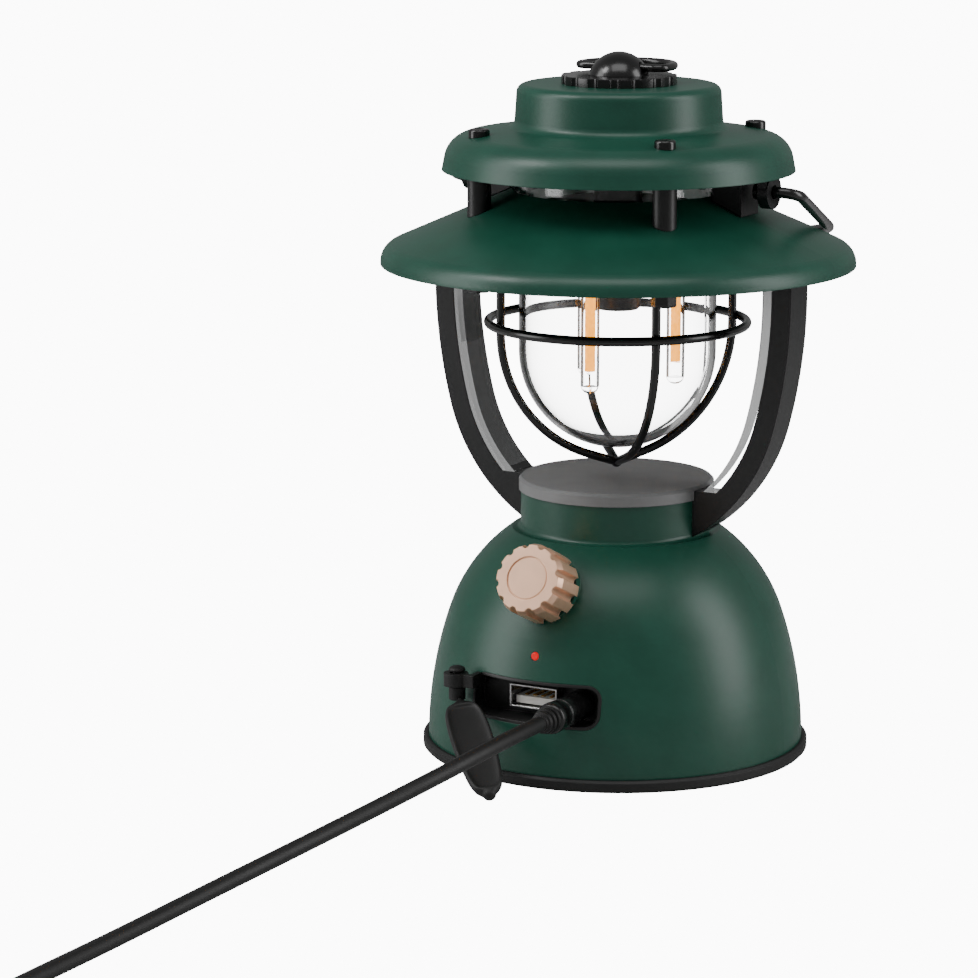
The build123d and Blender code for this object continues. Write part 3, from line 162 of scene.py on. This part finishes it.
class Finish(Nodes):
    """A material that is being made, with its tree and its main shader."""

    def __init__(self, name, colour, roughness, **constants):
        self.material = bpy.data.materials.new(name)
        self.material.use_nodes = True
        super().__init__(self.material.node_tree)
        self.shader = self.tree.nodes["Principled BSDF"]
        self.put("Base Color", (*colour, 1))
        self.put("Roughness", roughness)
        for socket, value in constants.items():
            self.put(socket.replace("_", " "), value)

    def put(self, socket, value):
        """Set or link one socket of the main shader."""
        self.join(value, self.shader.inputs[socket])

    def place(self):
        """Where a point is on the lantern, in metres."""
        return self.add("ShaderNodeTexCoord", output="Object")

    def noise(self, size_mm, detail=2.0, where=None, roughness=0.5):
        """Cloudy noise from 0 to 1 whose patches are about size_mm across."""
        return self.add("ShaderNodeTexNoise", None, {
            "Vector": where or self.place(), "Scale": 1 / (size_mm * MM),
            "Detail": detail, "Roughness": roughness})

    def span(self, value, low, high):
        """Stretch the stretch from low to high to the range from 0 to 1."""
        return self.add("ShaderNodeMapRange", None, {
            "Value": value, "From Min": low, "From Max": high})

    def mix(self, share, first, second):
        """Colour between first and second."""
        first, second = ((*c, 1) if isinstance(c, tuple) else c for c in (first, second))
        return self.add("ShaderNodeMix", {"data_type": "RGBA"},
                        {0: share, 6: first, 7: second}, output=2)

    def bump(self, height, depth_mm, edge_mm=0.3):
        """Raise the surface by height times depth_mm, and round its edges in the light."""
        rounded = self.add("ShaderNodeBevel", {"samples": 4}, {"Radius": edge_mm * MM})
        self.put("Normal", self.add("ShaderNodeBump", None, {
            "Height": height, "Distance": depth_mm * MM, "Strength": 1.0,
            "Normal": rounded}))


def shade_from(value):
    """Linear colour of a colour given as a web code."""
    parts = [int(value[k:k + 2], 16) / 255 for k in (0, 2, 4)]
    return tuple(p / 12.92 if p < 0.04045 else ((p + 0.055) / 1.055) ** 2.4 for p in parts)


# %% [markdown]
# ## Paints and coatings
# The shells are steel with a green powder coat. Powder coat is satin, with a very fine orange
# peel and a little cloudiness in its gloss. The arms have the same coat in black, and the
# wires a glossier one. One function makes all of them: noise at
# two sizes moves the roughness, and a fine bump gives the peel.

# %% Powder coats
def powder_coat(name, colour, roughness, peel_mm=0.5, peel_depth=0.012, coat=0.0):
    coating = Finish(name, colour, roughness, Coat_Weight=coat, Coat_Roughness=0.12)
    cloud = coating.noise(9.0, detail=3.0)
    fine = coating.noise(0.35, detail=1.0)
    tone = tuple(min(1.0, c * 1.18 + 0.001) for c in colour)
    coating.put("Base Color", coating.mix(coating.span(cloud, 0.3, 0.7), colour, tone))
    coating.put("Roughness", roughness - 0.03 + cloud * 0.05 + fine * 0.03)
    coating.bump(coating.noise(peel_mm, detail=2.0), peel_depth)
    return coating.material


green_paint = powder_coat("green_powder_coat", shade_from("0d4334"), 0.36)
black_paint = powder_coat("black_powder_coat", shade_from("0d0d0e"), 0.38)
black_gloss = powder_coat("black_enamel", shade_from("040404"), 0.24, 0.9, 0.006, coat=0.2)
grey_cap = powder_coat("grey_cap_coat", shade_from("787879"), 0.44, 0.35, 0.012)

# %% [markdown]
# ## Rubber and moulded plastic
# The foot ring and the port cover are soft rubber, dull and slightly dusty. The plug and the
# cord's jacket are moulded in a smoother, glossier plastic. A coarse noise makes the dust,
# and a fine one the spark-eroded texture of the mould.

# %% Rubber and plastic
def moulded(name, colour, roughness, grain_mm, grain_depth, dust=0.0):
    made = Finish(name, colour, roughness)
    patches = made.span(made.noise(6.0, detail=4.0), 0.45, 0.75)
    dusty = tuple(c + dust for c in colour)
    made.put("Base Color", made.mix(patches, colour, dusty))
    made.put("Roughness", roughness + patches * 0.06)
    made.bump(made.noise(grain_mm, detail=1.0), grain_depth)
    return made.material


black_rubber = moulded("black_rubber", shade_from("0a0a0a"), 0.55, 0.25, 0.010, dust=0.001)
black_plastic = moulded("black_plastic", shade_from("181818"), 0.42, 0.3, 0.008)
plug_plastic = moulded("plug_plastic", shade_from("0d0d0d"), 0.22, 0.6, 0.003)
cord_jacket = moulded("cord_jacket", shade_from("060606"), 0.5, 0.4, 0.005, dust=0.001)
white_plastic = moulded("white_plastic", shade_from("e4e2dc"), 0.38, 0.3, 0.004)

# %% [markdown]
# ## Metals
# The control knob is champagne-bronze anodised aluminium, bead blasted, so it is fine-grained
# and silky. The socket and the screws are plain steel, and the tripod thread is brass. Metals
# differ only in colour, gloss and grain, so they share one function.

# %% Metals
def metal(name, colour, roughness, grain_mm=0.3, grain_depth=0.006, metallic=1.0):
    made = Finish(name, colour, roughness, Metallic=metallic)
    grain = made.noise(grain_mm, detail=2.0)
    cloud = made.noise(4.0, detail=3.0)
    darker = tuple(c * 0.86 for c in colour)
    made.put("Base Color", made.mix(cloud, darker, colour))
    made.put("Roughness", roughness - 0.05 + cloud * 0.06 + grain * 0.05)
    made.bump(grain, grain_depth)
    return made.material


bronze = metal("bronze_anodised", (1.0, 0.62, 0.42), 0.34, 0.22, 0.010, metallic=0.7)
steel = metal("bright_steel", shade_from("d0d0d0"), 0.22)
brass = metal("brass", shade_from("c9a24e"), 0.30)

# %% [markdown]
# ## Glass, clear plastic and light
# The globe is clear glass and the strips inside the arms are clear acrylic, so both are made
# of the main shader with full transmission. The filaments are strips of light-emitting chips
# under an orange phosphor, and the indicator is a red lens with a lamp behind it.

# %% Clear and glowing
def clear(name, tint, roughness, index):
    made = Finish(name, tint, roughness, Transmission_Weight=1.0, IOR=index)
    made.put("Roughness", roughness + made.span(made.noise(7.0), 0.4, 0.8) * 0.02)
    return made.material


def glowing(name, colour, light, strength, speck_mm):
    made = Finish(name, colour, 0.4, Emission_Strength=strength)
    speck = made.span(made.noise(speck_mm, detail=1.0), 0.35, 0.65)
    made.put("Emission Color", made.mix(speck, tuple(c * 0.8 for c in light), light))
    made.put("Base Color", made.mix(speck, tuple(c * 0.9 for c in colour), colour))
    return made.material


globe_glass = clear("globe_glass", (1, 1, 1), 0.0, 1.45)
clear_acrylic = clear("clear_acrylic", (0.98, 0.99, 0.99), 0.01, 1.45)
filament = glowing("filament", (0.6, 0.2, 0.01), (1.0, 0.36, 0.01), 3.2, 0.8)
red_lens = glowing("red_lens", shade_from("b80808"), shade_from("ff0202"), 0.7, 0.5)
board = moulded("circuit_board", shade_from("0f4a2c"), 0.35, 0.6, 0.01)
cell_wrap = moulded("cell_wrap", shade_from("2b5c86"), 0.3, 0.8, 0.003)

# %% [markdown]
# ## Which finish goes where
# The record of the CAD model says which finish each of its pieces has. The names used there
# are looked up in one table, so that no piece is left without a surface.

# %% Dress the CAD pieces
finishes = {
    "green_paint": green_paint, "black_paint": black_paint, "black_gloss": black_gloss,
    "grey_cap": grey_cap, "black_rubber": black_rubber, "black_plastic": black_plastic,
    "steel": steel, "brass": brass, "cell_wrap": cell_wrap, "board": board,
    "white_plastic": white_plastic, "red_lens": red_lens, "bronze": bronze,
    "clear_acrylic": clear_acrylic, "globe_glass": globe_glass, "filament": filament,
    "cord_jacket": cord_jacket, "plug_plastic": plug_plastic,
}
slot_of = {entry["node"]: entry["material_slot"] for entry in frame["record"]["subparts"]}


def dress(piece, slot):
    """Give a piece one finish and nothing else."""
    piece.data.materials.clear()
    piece.data.materials.append(finishes[slot])


for name, node in nodes.items():
    dress(node, slot_of[name])
print("dressed", len(slot_of), "CAD nodes")

# %% [markdown]
# ## Drawing pieces out
# The plug, the cover's pin and the rubber cover all have a section that changes along their
# length.
# In Blender such a piece starts as a ring or a strip, whose end is extruded again and again,
# and each new end is moved and scaled. One helper does this for any list of stations, and
# another sets a finished piece in its place and puts its origin back to the middle of the
# lantern, where every piece has it.

# %% Helpers for pieces
def pick(piece, kind, test):
    """In edit mode, select the vertices, edges or faces of a piece that pass a test."""
    mesh = bmesh.from_edit_mesh(piece.data)
    for part in (*mesh.verts, *mesh.edges, *mesh.faces):
        part.select = False
    for part in getattr(mesh, kind):
        if test(part):
            part.select_set(True)
    mesh.select_flush_mode()
    bmesh.update_edit_mesh(piece.data)


def draw_out(stations, way):
    """Extrude the selected end through stations (along, width), in the direction way."""
    for (start, wide), (stop, next_wide) in zip(stations, stations[1:]):
        bpy.ops.mesh.extrude_region_move(
            TRANSFORM_OT_translate={"value": [way[k] * (stop - start) * MM for k in range(3)]})
        factor = next_wide / wide
        bpy.ops.transform.resize(value=[1 if way[k] else factor for k in range(3)])


def place(piece, matrix):
    """Set a piece in its place and make its mesh hold that place."""
    bpy.ops.object.select_all(action="DESELECT")
    piece.select_set(True)
    bpy.context.view_layer.objects.active = piece
    bpy.ops.object.transform_apply(location=True, rotation=True, scale=True)
    piece.matrix_world = matrix
    bpy.ops.object.transform_apply(location=True, rotation=True, scale=True)


def turned(name, stations, slot, matrix, sides=64, angle=35):
    """A round piece, from stations (along, radius) on its own Z axis."""
    bpy.ops.object.select_all(action="DESELECT")
    along, radius = stations[0]
    bpy.ops.mesh.primitive_circle_add(vertices=sides, radius=radius * MM, fill_type="NGON",
                                      location=(0, 0, along * MM))
    piece = bpy.context.active_object
    piece.name = name
    bpy.ops.object.mode_set(mode="EDIT")
    bpy.ops.mesh.select_all(action="SELECT")
    draw_out(stations, (0, 0, 1))
    bpy.ops.mesh.select_all(action="SELECT")
    bpy.ops.mesh.normals_make_consistent(inside=False)
    bpy.ops.object.mode_set(mode="OBJECT")
    place(piece, matrix)
    bpy.ops.object.shade_smooth_by_angle(angle=math.radians(angle))
    dress(piece, slot)
    return piece


# %% [markdown]
# ## Charging plug
# The plug has a smooth glossy barrel that ends in a wide ring, and a stepped rubber collar
# that narrows to the cord and lets it bend. Both are round, so both are drawn out from a
# ring. The steps of the collar are short cylinders with grooves between them.

# %% Plug barrel and collar
jack = Vector((10.8, 0, 20.4)) * MM
outward = Matrix.Rotation(math.radians(90), 4, "X")
plug_place = Matrix.Translation(jack) @ outward
barrel = turned("plug_barrel", [
    (38.5, 3.35), (39.0, 3.7), (50.6, 3.7), (50.8, 3.5), (51.2, 3.5), (51.4, 3.7),
    (53.6, 3.7), (53.9, 3.88), (55.7, 3.88), (56.2, 3.7), (56.5, 3.3)],
    slot_of["plug_body"], plug_place)
collar = turned("plug_collar_steps", [
    (56.5, 3.1), (56.7, 3.45), (57.6, 3.4), (57.7, 2.75), (58.1, 2.75), (58.2, 3.15),
    (59.1, 3.05), (59.2, 2.5), (59.6, 2.5), (59.7, 2.8), (60.6, 2.65), (60.7, 2.2),
    (61.4, 2.1), (61.5, 1.9)], slot_of["plug_collar"], plug_place)
for piece, node in ((barrel, "plug_body"), (collar, "plug_collar")):
    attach(piece, "lantern")
    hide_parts(node)
print("plug:", len(barrel.data.polygons) + len(collar.data.polygons), "faces")

# %% [markdown]
# ## Rubber port cover
# The cover is a soft rubber tongue. It is wide right from its hinge, a little narrower towards
# its free end, and has a raised rim all round and a small pull tab. A strip is drawn out along
# its length, given its thickness, and its front is inset and sunk to leave the rim. Two levels
# of subdivision then give it the soft edges of a moulded part.

# %% Cover
heading = math.radians(-47.0)
drop = math.radians(26.5)
cover_down = Vector((math.cos(heading) * math.cos(drop), math.sin(heading) * math.cos(drop),
                     -math.sin(drop)))
cover_out = Vector((0.239, -0.470, 0.849))
cover_out = (cover_out - cover_down * cover_out.dot(cover_down)).normalized()
cover_across = cover_out.cross(cover_down)
hinge = Vector((-21.2, -45.41, 20.0)) * MM
cover_place = Matrix.Translation(hinge) @ Matrix(
    (cover_down, cover_across, cover_out)).transposed().to_4x4()

bpy.ops.object.select_all(action="DESELECT")
bpy.ops.mesh.primitive_plane_add(size=1 * MM, location=(2.6 * MM, 0, 0))
cover = bpy.context.active_object
cover.name = "rubber_port_cover"
stations = [(3.1, 1), (4.2, 6.6), (6.0, 8.9), (9.0, 10.3), (14.0, 10.9), (20.0, 10.9),
            (26.0, 10.2), (31.0, 9.3), (34.4, 8.2), (36.2, 6.4), (36.9, 3.6), (38.6, 3.2)]
bpy.ops.object.mode_set(mode="EDIT")
pick(cover, "edges", lambda edge: all(v.co.x > 0 for v in edge.verts))
draw_out(stations, (1, 0, 0))
bpy.ops.mesh.select_all(action="SELECT")
cover_thick = 3.4
bpy.ops.mesh.extrude_region_move(
    TRANSFORM_OT_translate={"value": (0, 0, cover_thick * MM)})
bpy.ops.mesh.select_all(action="SELECT")
bpy.ops.mesh.normals_make_consistent(inside=False)
pick(cover, "faces", lambda face: face.normal.z > 0.9 and 4 * MM < face.calc_center_median().x
     + cover.location.x < 37 * MM)
bpy.ops.mesh.inset(thickness=1.1 * MM)
bpy.ops.mesh.inset(thickness=0.3 * MM, depth=-0.7 * MM)
bpy.ops.mesh.select_all(action="SELECT")
bpy.ops.transform.translate(value=(0, 0, -cover_thick / 2 * MM))
bpy.ops.object.mode_set(mode="OBJECT")
soft = cover.modifiers.new("soft", "SUBSURF")
soft.levels = soft.render_levels = 2
bpy.ops.object.modifier_apply(modifier=soft.name)
place(cover, cover_place)
bpy.ops.object.shade_smooth_by_angle(angle=math.radians(40))
dress(cover, slot_of["port_cover"])

pin = turned("port_cover_pin", [
    (-1.0, 1.9), (-0.8, 2.1), (2.3, 2.1), (2.5, 1.2), (6.3, 1.2), (6.35, 2.0), (6.7, 2.1),
    (7.2, 1.9), (7.6, 1.1)], slot_of["port_cover"], Matrix.Translation(hinge))
bpy.ops.object.select_all(action="DESELECT")
pin.select_set(True)
cover.select_set(True)
bpy.context.view_layer.objects.active = cover
bpy.ops.object.join()
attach(cover, "port_cover")
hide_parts("port_cover")
print("cover:", len(cover.data.polygons), "faces")

# %% [markdown]
# ## Charging cord
# A charging lead is about a metre long. It leaves the plug level, sags to the table and runs
# out of the picture to the front. What isn't needed is wound into a tied coil of two layers.
# One smooth curve carries the whole lead. Its free stretch follows listed points, and
# the coil's turns come from a loop: each turn keeps its radius and steps to the next one in a
# short sector, as a neatly wound lead does.

# %% Cord route
cord_radius = 1.95
free_run = [
    (10.8, -61.5, 20.4), (10.8, -79.0, 20.4), (7.0, -99.0, 17.4), (-1.4, -121.0, 12.0),
    (-9.4, -146.0, 7.0), (-14.8, -174.0, 3.6), (-16.8, -206.0, 2.0), (-16.9, -236.0, 2.0),
    (-16.2, -262.0, 2.2), (-16.2, -274.1, 2.45),
]
coil_centre = (8.0, -284.0)
turn_radii = (24.2, 20.4, 16.6)
low_layer = 2.45
high_layer = 6.35
tail_run = [
    (17.9, -308.2, 6.35), (27.0, -309.0, 5.55), (36.0, -310.0, 3.8), (45.0, -310.0, 3.8),
]
steps = 18                  # points in one turn
bow_out = 1 / math.cos(math.pi / steps)


def eased(turns, start, width=1 / 6):
    """From 0 to 1 over a short part of a turn."""
    share = min(1.0, max(0.0, (turns - start) / width))
    return share * share * (3 - 2 * share)


def coil_point(turns):
    """Control point of the cord after that many turns, inwards below, outwards above."""
    rise = eased(turns, 2.66)
    ring = eased(turns, 0.83) + eased(turns, 1.83)
    ring -= eased(turns, 3.5) + eased(turns, 4.5)
    radius = (turn_radii[0] - ring * (turn_radii[0] - turn_radii[1])) * bow_out
    angle = math.pi + turns * 2 * math.pi
    return (coil_centre[0] + radius * math.cos(angle), coil_centre[1] + radius * math.sin(angle),
            low_layer + rise * (high_layer - low_layer))


last_turn = 5.25
count = round(last_turn * steps)
coil_run = [coil_point(k / steps) for k in range(1, count - 1)]
route = free_run + coil_run + tail_run

# %% Cord curve
def wire_curve(name, points, radius, rings=6):
    """A round wire of that radius whose middle line is a smooth curve near the points."""
    line = bpy.data.curves.new(name, "CURVE")
    line.dimensions = "3D"
    spline = line.splines.new("NURBS")
    spline.points.add(len(points) - 1)
    for spot, point in zip(spline.points, points):
        spot.co = (*[x * MM for x in point], 1)
    spline.order_u = 3
    spline.use_endpoint_u = True
    spline.resolution_u = 6
    line.bevel_depth = radius * MM
    line.bevel_resolution = rings
    line.use_fill_caps = True
    curve = bpy.data.objects.new(name, line)
    bpy.context.scene.collection.objects.link(curve)
    return curve


cord = wire_curve("charging_cord", route, cord_radius)
dress(cord, "cord_jacket")
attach(cord, "lantern")
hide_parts("cord_run", "cord_coil", "cord_tail")


def length_of(curve):
    """Length of a curve's middle line in metres."""
    bare = curve.data.copy()
    bare.bevel_depth = 0
    probe = bpy.data.objects.new("probe", bare)
    mesh = bpy.data.meshes.new_from_object(probe)
    spots = [v.co.copy() for v in mesh.vertices]
    bpy.data.objects.remove(probe)
    bpy.data.meshes.remove(mesh)
    return sum((b - a).length for a, b in zip(spots, spots[1:]))


cord_length = length_of(cord)
print("cord length", round(cord_length, 3), "m")

# %% [markdown]
# ## Studio
# The floor is a wide white sheet and the backdrop is white, so the picture has no horizon.
# Both look white when they are seen directly or through the glass, yet they throw little
# light back, as in a studio where dark cards stand just outside the picture. Gloss on the
# shells then comes from two tall soft lights, left and right of the lantern, with a deep
# green band between them. A wide light above picks out the rims, and a small one stands
# where the knob's face mirrors it towards the camera.

# %% Room and floor
world = bpy.data.worlds.new("studio_room")
world.use_nodes = True
bpy.context.scene.world = world
room = Nodes(world.node_tree)
backdrop = room.tree.nodes["Background"]
backdrop.inputs["Color"].default_value = (1, 1, 1, 1)
room_glow = 0.30            # what the room throws on the lantern
backdrop_glow = 13.7        # what is added where the backdrop itself is seen
room.join(room_glow + room.seen() * backdrop_glow, backdrop.inputs["Strength"])

bpy.ops.object.select_all(action="DESELECT")
bpy.ops.mesh.primitive_plane_add(size=12.0, location=(0, 0, -0.0002))
floor = bpy.context.active_object
floor.name = "studio_floor"
sheet = Finish("white_sheet", (0.5, 0.5, 0.5), 0.9)
shine = sheet.add("ShaderNodeEmission", None, {"Strength": 13.0})
both = sheet.add("ShaderNodeMixShader", None, {
    0: sheet.seen() * 0.85, 1: Value(sheet, sheet.shader.outputs[0]), 2: shine})
sheet.join(both, sheet.tree.nodes["Material Output"].inputs[0])
floor.data.materials.append(sheet.material)

# %% Soft lights
def soft_light(name, place, width, height, power):
    """A rectangular light that faces the middle of the lantern."""
    lamp = bpy.data.lights.new(name, "AREA")
    lamp.shape = "RECTANGLE"
    lamp.size = width
    lamp.size_y = height
    lamp.energy = power
    light = bpy.data.objects.new(name, lamp)
    bpy.context.scene.collection.objects.link(light)
    light.location = place
    light.rotation_mode = "QUATERNION"
    light.rotation_quaternion = (Vector((0, 0, 0.09)) - place).to_track_quat("-Z", "Y")
    return light


def around(aside, ahead, up):
    """A place given from the lantern: to the right, away from the camera, and up."""
    return rightward * aside + straight * ahead + Vector((0, 0, up))


lights = [
    soft_light("left_light", around(-0.75, -0.12, 0.30), 0.35, 0.9, 4.0),
    soft_light("right_light", around(0.78, -0.16, 0.30), 0.35, 0.9, 4.5),
    soft_light("top_light", around(0.0, -0.35, 0.90), 0.7, 0.4, 2.6),
    soft_light("knob_light", Vector((-0.45, -0.48, 0.80)), 0.25, 0.25, 2.2),
]
print("lights:", [light.name for light in lights])
